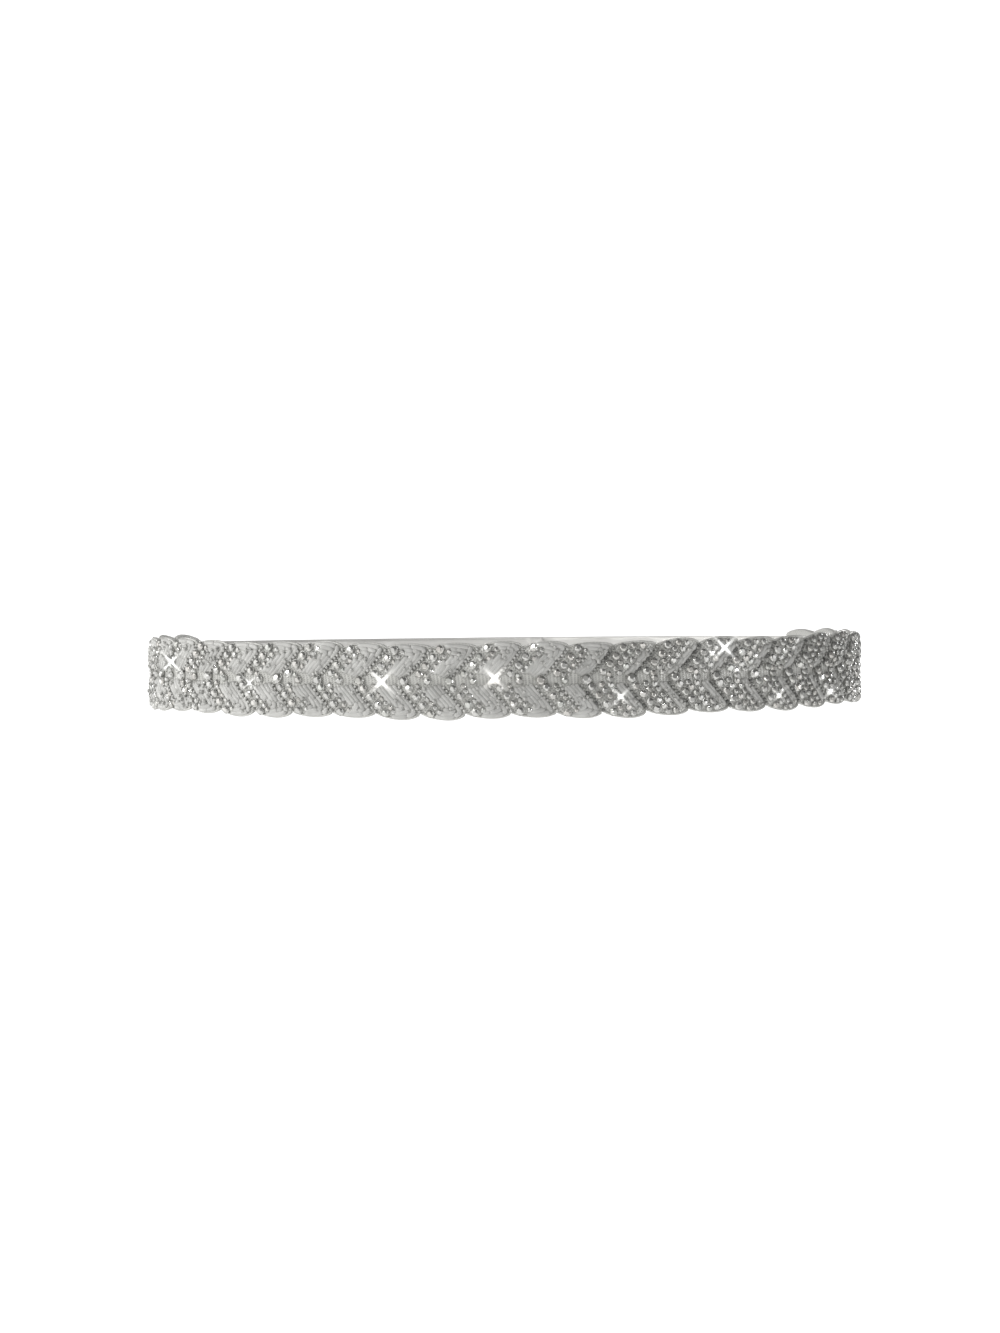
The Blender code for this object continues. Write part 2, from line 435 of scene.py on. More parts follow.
class Material(Nodes):
    """A material on the Principled shader."""

    def __init__(self, name, **values):
        self.material = bpy.data.materials.new(name)
        super().__init__(self.material)
        self.shader = self.tree.nodes["Principled BSDF"]
        for key, value in values.items():
            self.shader.inputs[key.replace("_", " ")].default_value = value

    def join(self, output, name):
        self.tree.links.new(output, self.shader.inputs[name])

    def attribute(self, name):
        return self.add("Attribute", attribute_name=name).outputs["Fac"]

    def ramp(self, factor, *stops):
        """A colour ramp. Each stop is a place and a colour, or a number for a grey."""
        node = self.add("ValToRGB", {"Fac": factor})
        elements = node.color_ramp.elements
        while len(elements) < len(stops):
            elements.new(0.5)
        for element, (position, colour) in zip(elements, stops):
            element.position = position
            element.color = (*np.broadcast_to(colour, 3), 1)
        return node.outputs["Color"]

    def paint(self, name, factor, *stops):
        """Joins a ramp to the shader's input of this name."""
        self.join(self.ramp(factor, *stops), name)

    def mix(self, factor, a, b, blend="MIX"):
        inputs = {0: factor, 6: a, 7: b}
        return self.add("Mix", inputs, data_type="RGBA", blend_type=blend).outputs[2]

    def noise(self, scale, detail, vector=None):
        inputs = {"Scale": scale, "Detail": detail, "Vector": vector or self.object_place()}
        return self.add("TexNoise", inputs).outputs["Fac"]

    def wave(self, vector, scale, distortion, detail=0.0):
        inputs = {"Vector": vector, "Scale": scale, "Distortion": distortion, "Detail": detail}
        return self.add("TexWave", inputs, bands_direction="X").outputs["Fac"]

    def bump(self, height, strength, distance, **normal):
        inputs = {"Height": height, "Strength": strength, "Distance": distance, **normal}
        return self.add("Bump", inputs).outputs["Normal"]

    def object_place(self):
        return self.add("TexCoord").outputs["Object"]

    def mapped(self, vector, **values):
        return self.add("Mapping", {"Vector": vector, **values}).outputs["Vector"]

    def cloth_place(self, along, across):
        """The flat cloth's coordinates, scaled along and across it."""
        uv = self.add("UVMap", uv_map="cloth").outputs["UV"]
        return self.mapped(uv, Scale=(along, across, 1))


def satin_material():
    """White satin: floats that run along the ribbon, with a plain woven selvedge at each edge."""
    n = Material(
        "white_satin", Metallic=0.2, Sheen_Weight=0.3, Sheen_Roughness=0.3, Specular_IOR_Level=0.8,
        Anisotropic=0.5,
    )
    streaks = n.noise(1.0, 2, n.cloth_place(60, 5200))
    slubs = n.noise(1.0, 3, n.cloth_place(30, 160))
    tint = n.ramp(slubs, (0.3, (0.84, 0.832, 0.81)), (0.7, (0.91, 0.905, 0.885)))
    threads = n.ramp(streaks, (0.35, (0.79, 0.785, 0.765)), (0.65, (0.95, 0.945, 0.93)))
    across = n.add("SeparateXYZ", {"Vector": n.cloth_place(1, 2 / RIBBON_WIDTH)}).outputs["Y"]
    from_middle = n.math("ABSOLUTE", across, 0.0)
    selvedge = n.ramp(from_middle, (0.915, 0), (0.925, 1), (0.935, 1), (0.945, 0))
    plain = n.mix(0.07, tint, threads)
    n.join(n.mix(selvedge, plain, (0.7, 0.69, 0.665, 1)), "Base Color")
    n.paint("Roughness", streaks, (0.3, 0.27), (0.75, 0.34))
    weft = n.wave(n.cloth_place(1, 1), 900.0, 0.0)
    fine = n.bump(weft, 0.12, 0.04 * MM)
    woven = n.bump(streaks, 0.08, 0.06 * MM, Normal=fine)
    n.join(n.bump(selvedge, -0.8, 0.12 * MM, Normal=woven), "Normal")
    return n.material


def net_material():
    """Stiffened net, silver grey, with threads both ways on the slant."""
    n = Material("silver_net", Sheen_Weight=0.25, Specular_IOR_Level=0.5, Metallic=0.15)
    on_cloth = n.cloth_place(1, 1)
    slants = [n.mapped(on_cloth, Rotation=(0, 0, angle)) for angle in (0.7, -0.7)]
    threads = n.math("MAXIMUM", *(n.wave(slant, 330.0, 0.6, 1.0) for slant in slants))
    n.paint("Base Color", threads, (0.35, (0.5, 0.5, 0.48)), (0.9, (0.84, 0.84, 0.81)))
    n.paint("Roughness", threads, (0.3, 0.55), (0.9, 0.3))
    n.join(n.bump(threads, 0.6, 0.15 * MM), "Normal")
    return n.material


def cord_material():
    """Silver thread wound round a cord, its turns across it."""
    n = Material("silver_cord", Metallic=0.3, Specular_IOR_Level=0.5, Sheen_Weight=0.2)
    turns = n.wave(n.cloth_place(1, 1), 620.0, 0.8, 1.0)
    n.paint("Base Color", turns, (0.15, (0.58, 0.58, 0.56)), (0.8, (0.9, 0.9, 0.87)))
    n.paint("Roughness", turns, (0.2, 0.5), (0.9, 0.28))
    n.join(n.bump(turns, 0.5, 0.1 * MM), "Normal")
    return n.material


def stone_material():
    """Foiled cut glass, in some stones faintly tinted. Its facets' greys carry painted light from their
    tones: painted shade on facets that face up and a painted highlight on each table.
    """
    n = Material(
        "rhinestone", Metallic=0.8, Coat_Weight=0.3, Coat_Roughness=0.05, Specular_IOR_Level=0.8,
    )
    tone, shade = n.attribute("tone"), n.attribute("shade")
    # The facets' greys from their tones: painted shade and painted highlights.
    facet_painted_light = n.ramp(
        tone, (0.0, (0.31, 0.31, 0.3)), (0.3, (0.49, 0.49, 0.48)), (0.6, (0.68, 0.68, 0.665)),
        (1.0, (0.8, 0.8, 0.785)),
    )
    tint = n.ramp(shade, (0.45, (1, 1, 1)), (0.8, (1.0, 0.975, 0.955)), (0.95, (0.985, 1.0, 0.985)))
    n.join(n.mix(1.0, facet_painted_light, tint, "MULTIPLY"), "Base Color")
    scuffs = n.noise(2500.0, 1)
    n.paint("Roughness", scuffs, (0.3, 0.08), (0.8, 0.18))
    return n.material


def purl_material():
    """Coiled silver wire, its turns side by side."""
    n = Material("silver_purl", Metallic=0.3, Specular_IOR_Level=0.45)
    coils = n.wave(n.cloth_place(1, 1), 800.0, 0.3)
    patches = n.noise(220.0, 2)
    base = n.ramp(coils, (0.1, (0.66, 0.66, 0.635)), (0.8, (0.82, 0.82, 0.79)))
    patched = n.mix(0.4, base, n.ramp(patches, (0.35, 0.58), (0.65, 0.92)))
    cut_tint = n.ramp(n.attribute("shade"), (0.0, 0.86), (1.0, 1.0))
    n.join(n.mix(1.0, patched, cut_tint, "MULTIPLY"), "Base Color")
    n.paint("Roughness", coils, (0.2, 0.62), (0.9, 0.45))
    n.join(n.bump(coils, 0.4, 0.08 * MM), "Normal")
    return n.material


def silver_material():
    """Silver plate, darker and duller in patches."""
    n = Material("silver_plate", Metallic=1.0)
    wear = n.noise(900.0, 3)
    n.paint("Base Color", wear, (0.3, (0.52, 0.52, 0.505)), (0.7, (0.72, 0.72, 0.7)))
    n.paint("Roughness", wear, (0.3, 0.46), (0.75, 0.26))
    return n.material


def bead_material(name, dark, light, metallic, rough):
    """Silver-lined glass: a clear coat over a lining that differs from bead to bead."""
    n = Material(name, Metallic=metallic, Coat_Weight=0.4, Coat_Roughness=0.15, Specular_IOR_Level=0.6)
    n.paint("Base Color", n.attribute("shade"), (0.0, dark), (1.0, light))
    swirl = n.noise(1800.0, 2)
    n.paint("Roughness", swirl, (0.3, rough), (0.75, rough * 1.8))
    n.join(n.bump(swirl, 0.15, 0.05 * MM), "Normal")
    return n.material


def nickel_material():
    """Nickel plate with fine scratches."""
    n = Material("nickel_plate", Metallic=1.0)
    scratches = n.noise(600.0, 4, n.mapped(n.object_place(), Scale=(1, 1, 9)))
    n.paint("Base Color", scratches, (0.3, (0.58, 0.57, 0.54)), (0.7, (0.78, 0.77, 0.74)))
    n.paint("Roughness", scratches, (0.3, 0.34), (0.7, 0.18))
    n.join(n.bump(scratches, 0.1, 0.03 * MM), "Normal")
    return n.material


def thread_material():
    """White sewing thread."""
    n = Material("white_thread", Sheen_Weight=0.3)
    ply = n.noise(3500.0, 2)
    n.paint("Base Color", ply, (0.3, (0.68, 0.68, 0.66)), (0.7, (0.88, 0.88, 0.86)))
    n.paint("Roughness", ply, (0.3, 0.6), (0.7, 0.45))
    n.join(n.bump(ply, 0.4, 0.05 * MM), "Normal")
    return n.material


# Ribbon

RIPPLES = np.array((
    # length from centre front, half width, depth, slant (length for each unit of height)
    (-322, 4, 0.30, -0.7),
    (-309, 6, 0.55, 0.6),
    (-296, 5, -0.35, 0.9),
    (-276, 9, 0.45, -0.4),
    (-251, 7, 0.30, 0.5),
    (249, 8, 0.35, -0.5),
    (270, 6, 0.50, 0.6),
    (284, 5, -0.30, -0.4),
    (297, 6, 0.55, -0.9),
    (312, 4, 0.35, -0.6),
)) * (MM, MM, MM, 1)
FREE_START = 236 * MM  # past the applique's ends the ribbon is free to wave, up to its overlap
FREE_END = HALF_WAIST - OVERLAP
FREE_RISE = 20 * MM
WAVES = np.array((
    # wavelength, depth, slant
    (41, 0.20, 0.4),
    (26, 0.13, -0.7),
    (15, 0.06, 0.9),
)) * (MM, MM, 1)
RIBBON_INNER = 0.12 * MM
RIBBON_OUTER = RIBBON_THICKNESS - 0.12 * MM
RIBBON_END = HALF_WAIST + OVERLAP / 2
RIBBON_COLUMNS = 941  # points along it
RIBBON_ROWS = 17  # points across each of its faces
EDGE_ROUNDING = 0.25 * MM
SELVEDGE = 1.2 * MM
SELVEDGE_RISE = 0.06 * MM
HEM = 6 * MM
HEM_RISE = 0.22 * MM
HEM_SLOPE = 0.6 * MM  # length over which the hem rises


def smooth_step(share):
    share = np.clip(share, 0, 1)
    return share * share * (3 - 2 * share)


def eased(position, table):
    """The table's second column at these values of its first, eased from row to row."""
    starts, values = np.array(table).T
    row = np.clip(np.searchsorted(starts, position) - 1, 0, len(starts) - 2)
    share = (position - starts[row]) / (starts[row + 1] - starts[row])
    return values[row] + (values[row + 1] - values[row]) * smooth_step(share)


def ribbon_lift(length, height):
    """How far the ribbon stands off its plain path, in soft waves and where the hooks pull ripples."""
    from_ends = np.minimum(np.abs(length) - FREE_START, FREE_END - np.abs(length))
    free = np.clip(from_ends / FREE_RISE, 0, 1)
    lift = np.zeros_like(length)
    for wavelength, depth, slant in WAVES:
        lift = lift + free * depth * np.sin(math.tau * (length - slant * height) / wavelength)
    for middle, half_width, depth, slant in RIPPLES:
        distance = (length - middle - slant * height) / half_width
        lift = lift + depth * np.exp(-distance * distance)
    return lift


def hem_rise(length):
    """How much thicker the ribbon is at an end, where it is folded over."""
    return HEM_RISE * smooth_step((length - (RIBBON_END - HEM)) / HEM_SLOPE)


def make_ribbon(material):
    """One closed wall of satin, once round. The end on top has its hem outside, the other inside."""
    lengths = np.linspace(-RIBBON_END, RIBBON_END, RIBBON_COLUMNS)
    half = RIBBON_WIDTH / 2
    middle = (RIBBON_INNER + RIBBON_OUTER) / 2
    across = np.linspace(-half + EDGE_ROUNDING, half - EDGE_ROUNDING, RIBBON_ROWS)
    section = (
        [(half, middle)]
        + [(h, RIBBON_OUTER + SELVEDGE_RISE * (abs(h) > half - SELVEDGE)) for h in across[::-1]]
        + [(-half, middle)]
        + [(h, RIBBON_INNER) for h in across]
    )
    heights, depths = np.array(section).T
    length, height = np.meshgrid(lengths, heights, indexing="ij")
    out = eased(lengths - HALF_WAIST, OVER_END)[:, None] + depths[None] + ribbon_lift(length, height)
    out = out + hem_rise(length) * (depths > middle) - hem_rise(-length) * (depths < middle)
    points = place(length, out, height, RIBBON_LINE).reshape(-1, 3)
    faces = tube_faces(len(lengths), len(section))
    ribbon = mesh_piece("satin_ribbon_cloth", points, faces, material)
    set_uv(ribbon, np.stack([length.ravel(), height.ravel()], -1))
    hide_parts("satin_ribbon")
    return ribbon


# Sewing

STITCH = 1.9 * MM
STITCH_RADIUS = 0.15 * MM
STITCH_SIDES = 6
STITCH_RISE = 0.2 * MM
STITCH_ERROR = 0.4 * MM  # how far a stitch is off its place, at most
STITCH_TURN = 0.12  # how far it is usually turned, in radians
TACK_SPACING = 7.5 * MM
TACK_HEIGHT = 9.4 * MM
TACK_SLANT = 0.5
HEM_STITCH_SPACING = 2.7 * MM
HEM_STITCH = RIBBON_END - HEM + 1.2 * MM  # length from centre front
FASTENER_HEIGHT = 5.2 * MM  # of the hooks' and bars' middles
HOOK_STITCHES = ((1.6 * MM, 0.3), (4.4 * MM, -0.3))  # length before centre back, slant
HOOK_STITCH_ROWS = (-1.8 * MM, 0.0, 1.8 * MM)  # heights from the hook's middle
BAR_STITCH = 2.6 * MM  # length before centre back
BAR_STITCH_ROWS = (-3.8 * MM, -3.2 * MM, 3.8 * MM, 4.4 * MM)
BAR_STITCH_SLANT = 0.2


def stitch_path(length, height, slant, outer):
    """A stitch on the ribbon's outer or inner face, dipping into it at both ends."""
    shares = np.linspace(-0.5, 0.5, 5)
    lengths = length + STITCH * shares * math.cos(slant)
    heights = height + STITCH * shares * math.sin(slant)
    base = eased(lengths - HALF_WAIST, OVER_END) + ribbon_lift(lengths, heights)
    rise = STITCH_RISE * (0.6 - 4 * shares**2)
    if outer:
        out = base + RIBBON_OUTER + hem_rise(lengths) + rise
    else:
        out = base + RIBBON_INNER - hem_rise(-lengths) - rise
    return place(lengths, out, heights, RIBBON_LINE)


def stitch_places():
    """Every stitch that shows, as (length, height, slant, on the outer face)."""
    half_applique = LEAF_PAIRS * LEAF_PITCH / 2
    for number in range(int(2 * half_applique / TACK_SPACING)):
        length = -half_applique + (number + 0.5) * TACK_SPACING
        yield length, TACK_HEIGHT, TACK_SLANT, False
        yield length + TACK_SPACING / 2, -TACK_HEIGHT, -TACK_SLANT, False
    hem_stitches = int((RIBBON_WIDTH - 2 * SELVEDGE) / HEM_STITCH_SPACING)
    for number in range(hem_stitches):
        height = (number - (hem_stitches - 1) / 2) * HEM_STITCH_SPACING
        yield HEM_STITCH, height, math.pi / 2, True
        yield -HEM_STITCH, height, math.pi / 2, False
    for middle in (FASTENER_HEIGHT, -FASTENER_HEIGHT):
        for row in HOOK_STITCH_ROWS:
            for before, slant in HOOK_STITCHES:
                yield HALF_WAIST - before, middle + row, slant, True
        for row in BAR_STITCH_ROWS:
            yield BAR_STITCH - HALF_WAIST, middle + row, BAR_STITCH_SLANT, False


def make_stitches(material):
    """White thread: the applique's tacking inside the ribbon, the two hems, and the hooks and bars."""
    chance = random.Random(3)
    points, faces = [], []
    for length, height, slant, outer in stitch_places():
        slant += chance.gauss(0, STITCH_TURN)
        length += chance.uniform(-STITCH_ERROR, STITCH_ERROR)
        path = stitch_path(length, height, slant, outer)
        stitch_points, stitch_faces, _ = swept(path, STITCH_RADIUS, STITCH_RADIUS, STITCH_SIDES)
        add_shape(points, faces, stitch_points, stitch_faces)
    return mesh_piece("white_stitches", points, faces, material)


# Applique

NET_COLUMNS = 12  # columns of points to a leaf
FRONT_REACHES = (*np.linspace(0, 0.9, 10), 0.96, 1.0)  # from the middle line to the edge
BACK_PLACES = ((UPPER, 0.97), (UPPER, 0.5), (LOWER, 0.0), (LOWER, 0.5), (LOWER, 0.97))


def make_backing(material):
    """The padded net under the beads, with its scalloped edge and its plain back."""
    front = [(LOWER, reach) for reach in FRONT_REACHES[::-1]]
    front += [(UPPER, reach) for reach in FRONT_REACHES[1:]]
    columns = leaf_columns(NET_COLUMNS)
    points, flat = [], []
    for pair, phase in columns:
        for number, (side, reach) in enumerate((*front, *BACK_PLACES)):
            height = reach * half_height(phase, pair, side)
            lift = 0.0 if number < len(front) else -BACKING - PADDING * leaf_relief(phase, reach)
            points.append(leaf_point(pair, side, phase, height, lift))
            flat.append(((pair + phase) * LEAF_PITCH + LEAF_SLANT * height, side * height))
    count = len(front) + len(BACK_PLACES)
    faces = [face[::-1] for face in grid_faces(len(columns), count)]
    faces.extend(face[::-1] for face in end_faces(0, len(front), count))
    faces.extend(end_faces(len(points) - count, len(front), count))
    backing = mesh_piece("applique_net", points, faces, material)
    set_uv(backing, flat)
    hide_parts("beaded_applique")
    return backing


def end_faces(start, outer, count):
    """Triangles that close one end of the applique, between its outer and its inner points."""
    side = range(start, start + outer)
    other = range(start + count - 1, start + outer - 1, -1)
    i = j = 0
    while i + 1 < len(side) or j + 1 < len(other):
        if i * (len(other) - 1) <= j * (len(side) - 1):
            yield side[i], other[j], side[i + 1]
            i += 1
        else:
            yield side[i], other[j], other[j + 1]
            j += 1


CORD_RADIUS = 0.45 * MM
CORD_SIDES = 8
CORD_COLUMNS = 14  # points to a leaf
CORD_INSET = 0.35 * MM
CORD_LIFT = 0.15 * MM


def make_cord(material):
    """A wound cord sewn round the applique's scalloped edge and down its two ends."""
    columns = leaf_columns(CORD_COLUMNS)
    end_reaches = np.linspace(0.9, 0, 8)

    def edge_point(pair, phase, side, reach=1.0):
        height = reach * half_height(phase, pair, side) - CORD_INSET * reach
        return leaf_point(pair, side, phase, height, CORD_LIFT)

    def end_points(pair, first, second):
        inwards = [edge_point(pair, 0.0, first, reach) for reach in end_reaches]
        return inwards + [edge_point(pair, 0.0, second, reach) for reach in end_reaches[-2::-1]]

    path = [edge_point(pair, phase, UPPER) for pair, phase in columns]
    path += end_points(LEAF_PAIRS, UPPER, LOWER)
    path += [edge_point(pair, phase, LOWER) for pair, phase in reversed(columns)]
    path += end_points(0, LOWER, UPPER)
    points, faces, flat = swept(path, CORD_RADIUS, CORD_RADIUS, CORD_SIDES, looped=True)
    cord = mesh_piece("edge_cord", points, faces, material)
    set_uv(cord, flat)
    return cord


SIZES = {
    "seed": 1.3 * MM,
    "grey_seed": 1.3 * MM,
    "stone": 3.0 * MM,
    "medium": 2.3 * MM,
    "small": 1.9 * MM,
    "centre": 3.6 * MM,
    "between": 2.8 * MM,
}

# Rows of beads along a leaf, at a phase across it. margin is from the last bead to the leaf's edge.
BeadRow = namedtuple("BeadRow", "kind phase start pitch margin")
STONE_ROW = BeadRow("stone", 0.24, 2.6 * MM, 3.5 * MM, 0.6 * MM)
BASE_ROWS = (
    BeadRow("seed", 0.055, 2.2 * MM, 1.5 * MM, 1.0 * MM),
    STONE_ROW,
    BeadRow("small", 0.455, 1.9 * MM, 2.1 * MM, 2.0 * MM),
)
MIXED_ROWS = (*BASE_ROWS, BeadRow("seed", 0.565, 2.0 * MM, 1.6 * MM, 3.3 * MM))
DENSE_ROWS = (
    # The grey seed beads on the groove side are real beads. Their dark lining is partly painted shade
    # for the groove.
    BeadRow("grey_seed", 0.055, 2.2 * MM, 1.5 * MM, 1.0 * MM),
    STONE_ROW,
    BeadRow("medium", 0.455, 1.9 * MM, 2.6 * MM, 0.6 * MM),
    BeadRow("medium", 0.66, 2.2 * MM, 2.7 * MM, 0.6 * MM),
)

# A leaf is worked in one of three ways, with more or less of it left to smooth rows of purl. wraps is
# how many of them turn over its tip, and specks are seed beads on them, at phases from specks_from on.
Working = namedtuple("Working", "purl_rows wraps bead_rows specks specks_from")
SMOOTH = Working(5, 4, BASE_ROWS, 3, 0.55)
MIXED = Working(4, 4, MIXED_ROWS, 6, 0.6)
DENSE = Working(2, 0, DENSE_ROWS, 5, 0.8)
SMOOTH_PAIRS = range(7, 15)  # counted from the -X end
FIRST_DENSE_PAIR = 16


def working(pair):
    if pair in SMOOTH_PAIRS:
        return SMOOTH
    return MIXED if pair < FIRST_DENSE_PAIR else DENSE


PURL = 1.2 * MM  # thickness of the coiled silver wire, which is pressed flat
PURL_WIDTH = 1.95 * MM
PURL_SIDES = 8
PURL_LIFT = 0.2 * PURL
PURL_PITCH = 1.12 * MM  # between neighbouring wires, whose sides press together
PURL_EDGE = 0.75 * PURL_PITCH  # from the leaf's far side to the first wire's middle
PURL_STEP = 0.9 * MM
PURL_CUT = (5, 9)  # fewest and most steps in one cut length of wire
PURL_SHORTEST = 3  # steps: what is left of a row is added to its last cut if it is shorter
PURL_END = 0.72  # thickness of a cut's end, as a share of the wire's
PURL_WOBBLE = 0.009  # how far a wire strays, as a share of the leaf's width
PURL_KNOTS = 5  # places along a row where it strays by its own amount
WRAP_ERROR = 0.03  # how far in phase a wire ends off its place
EDGE_INSET = 0.35 * MM  # between the outermost wire and the applique's edge
PURL_ROUNDING = 9  # rounds of smoothing where a wire turns over the leaf's tip
PURL_ROWS = (
    # start height, phase at which it ends past the tip
    (1.3 * MM, 0.26),
    (1.6 * MM, 0.40),
    (2.0 * MM, 0.52),
    (2.5 * MM, 0.62),
    (2.6 * MM, None),  # stays on the far side of every leaf
)


def purl_path(pair, side, row, chance):
    """One row of coiled wire on the leaf: up the far side, then over the tip along its edge."""
    start, wrap_end = PURL_ROWS[row]
    inset = PURL_EDGE + row * PURL_PITCH
    phase = 1 - inset / LEAF_WIDTH

    def ceiling(at):
        return half_height(at, pair, side) - EDGE_INSET - inset

    corner = float(ceiling(phase))
    heights = np.arange(start, corner, PURL_STEP / ARM)
    path = np.stack([np.full_like(heights, phase), heights], -1)
    if row < working(pair).wraps:
        wrap_end += chance.uniform(-WRAP_ERROR, WRAP_ERROR)
        phases = np.arange(phase, wrap_end, -PURL_STEP / LEAF_PITCH)
        path = np.concatenate([path, np.stack([phases, ceiling(phases)], -1)])
    for _ in range(PURL_ROUNDING):
        path[1:-1] = 0.25 * path[:-2] + 0.5 * path[1:-1] + 0.25 * path[2:]
    knots = [chance.uniform(-PURL_WOBBLE, PURL_WOBBLE) for _ in range(PURL_KNOTS)]
    path[:, 0] += np.interp(np.linspace(0, PURL_KNOTS - 1, len(path)), range(PURL_KNOTS), knots)
    return path


def cut_lengths(path, chance):
    """A row is sewn down in short lengths, end to end."""
    start, end = 0, len(path) - 1
    while start < end:
        stop = start + chance.randint(*PURL_CUT)
        if end - stop < PURL_SHORTEST:
            stop = end
        yield path[start:stop + 1]
        start = stop


def make_purl(material):
    """Coiled silver wire couched down in rows: the smooth half of each leaf and the rim of its tip."""
    chance = random.Random(5)
    points, faces, flat, shades = [], [], [], []
    rows = [
        (pair, side, row)
        for pair in range(LEAF_PAIRS)
        for side in (UPPER, LOWER)
        for row in range(working(pair).purl_rows)
    ]
    for pair, side, row in rows:
        for route in cut_lengths(purl_path(pair, side, row, chance), chance):
            path = [leaf_point(pair, side, *spot, PURL_LIFT) for spot in route]
            from_end = np.minimum(np.arange(len(path)), np.arange(len(path))[::-1])
            taper = np.minimum(1, PURL_END + (1 - PURL_END) * from_end)
            wire_points, wire_faces, wire_flat = swept(
                path, PURL / 2 * taper, PURL_WIDTH / 2 * taper, PURL_SIDES,
            )
            add_shape(points, faces, wire_points, wire_faces)
            flat.extend(wire_flat)
            shades.extend([chance.random()] * len(wire_faces))
    purl = mesh_piece("silver_purl", points, faces, material)
    set_uv(purl, flat)
    number_faces(purl, "shade", shades)
    return purl


STONE_KINDS = {
    "stone": "rhinestones",
    "medium": "medium_rhinestones",
    "small": "small_rhinestones",
    "centre": "centre_rhinestones",
    "between": "between_rhinestones",
}
MIDLINE = (("centre", 0.16), ("between", 0.68))  # kind and phase of the stones on the middle line
MIDLINE_HEIGHT = 0.05 * MM
MIDLINE_FREEDOM = 0.5  # they are set more exactly than the others
SQUEEZE = 0.35  # of a pitch: how much a row may lack to take one more bead
WIDEST_PITCH = 1.18  # as a share of the row's pitch
SPECK_LOWEST = 2 * MM
SPECK_MARGIN = 1.5 * MM
SPECK_LAST_PHASE = 0.97
SPECK_LIFT = 0.45 * PURL

# Hand sewing isn't exact. How far a bead is off its place at most, and its scale:
HEIGHT_ERROR = 0.12 * MM
PHASE_ERROR = 0.010
SCALES = (0.95, 1.05)
# How far it usually is turned and tipped, in radians:
SEED_TURN = 0.05
SEED_TIP = 0.04
STONE_TIP = 0.12


def row_heights(row, pair, side):
    """Heights of the beads of a row, spread evenly over the room between its start and its margin."""
    top = float(half_height(row.phase, pair, side)) - row.margin - SIZES[row.kind] / 2
    room = (top - row.start) * ARM
    count = 1 + int(room / row.pitch + SQUEEZE)
    step = min(room / max(count - 1, 1), row.pitch * WIDEST_PITCH)
    return [row.start + i * step / ARM for i in range(count)]


def bead_places():
    """Every bead's spot, a seat and a scale, by kind."""
    chance = random.Random(11)
    places = {kind: [] for kind in SIZES}

    def sew(kind, pair, side, phase, height, free=1.0, lift=0.0):
        height += chance.uniform(-HEIGHT_ERROR, HEIGHT_ERROR) * free
        phase += chance.uniform(-PHASE_ERROR, PHASE_ERROR) * free
        is_stone = kind in STONE_KINDS
        turn = chance.uniform(0, math.pi) if is_stone else chance.gauss(0, SEED_TURN)
        tip = STONE_TIP if is_stone else SEED_TIP
        tilt, lean = chance.gauss(0, tip), chance.gauss(0, tip)
        seat_rows = turned(seat(pair, side, phase, height, lift), turn, tilt, lean)
        places[kind].append((seat_rows, chance.uniform(*SCALES)))

    for pair in range(LEAF_PAIRS):
        way = working(pair)
        for side in (UPPER, LOWER):
            for row in way.bead_rows:
                for height in row_heights(row, pair, side):
                    sew(row.kind, pair, side, row.phase, height)
            for _ in range(way.specks):
                phase = chance.uniform(way.specks_from, SPECK_LAST_PHASE)
                highest = float(half_height(phase, pair, side)) - SPECK_MARGIN
                sew("seed", pair, side, phase, chance.uniform(SPECK_LOWEST, highest), lift=SPECK_LIFT)
        for kind, phase in MIDLINE:
            sew(kind, pair, UPPER, phase, MIDLINE_HEIGHT, free=MIDLINE_FREEDOM)
    return places


CUP_SHARP = math.radians(35)
SEED_SHARP = math.radians(70)


def make_beads(places, stone, silver):
    made = []
    for kind, name in STONE_KINDS.items():
        size, spots = SIZES[kind], places[kind]
        shape = stone_shape(size)
        stones = sewn_piece(name, shape, spots, stone)
        # Painted shade and painted highlights go into the stones' facet tones.
        paint_facet_light(stones, len(shape[1]))
        made.append(stones)
        made.append(sewn_piece(name + "_cups", cup_shape(size), spots, silver, CUP_SHARP))
    clear = bead_material("seed_glass", (0.50, 0.50, 0.485), (0.74, 0.74, 0.72), 0.4, 0.34)
    # Grey glass whose dark lining is partly painted shade for the groove where these beads sit.
    grey_glass_with_painted_shade = bead_material("grey_seed_glass", (0.14, 0.14, 0.135), (0.46, 0.46, 0.44), 0.5, 0.28)
    for kind, glass in (("seed", clear), ("grey_seed", grey_glass_with_painted_shade)):
        shape, name = seed_shape(SIZES[kind]), kind + "_beads"
        made.append(sewn_piece(name, shape, places[kind], glass, SEED_SHARP))
    return made


# Painted light on the stones' facets, held in their tones.
LEVEL_TONE = 0.66  # of a facet that faces neither up nor down
PAINTED_SHADE_FALL = 0.85  # painted shade, from there to one that faces straight up
TONE_SPREAD = 0.5
TABLE_HIGHLIGHT = 0.7  # darkest painted highlight that a table gets


def paint_facet_light(stones, facets):
    """Paints light into the facets' tones. The table, of each stone's facets the first, is the
    lightest, a painted highlight.

    The others get painted shade, darker the more they face up, with a random spread.
    """
    count = len(stones.data.polygons)
    normals = np.empty(count * 3)
    stones.data.polygons.foreach_get("normal", normals)
    up = normals.reshape(-1, 3)[:, 2]
    draw = np.random.default_rng(count)
    # Painted shade: the more a facet faces up, the darker it is.
    tone = LEVEL_TONE - PAINTED_SHADE_FALL * up + TONE_SPREAD * (draw.random(count) - 0.5)
    # A painted highlight on each table.
    table_highlight = TABLE_HIGHLIGHT + (1 - TABLE_HIGHLIGHT) * draw.random(count)
    tone = np.where(np.arange(count) % facets == 0, table_highlight, tone)
    stones.data.attributes["tone"].data.foreach_set("value", np.clip(tone, 0, 1).astype(np.float32))


# Stage, light and camera

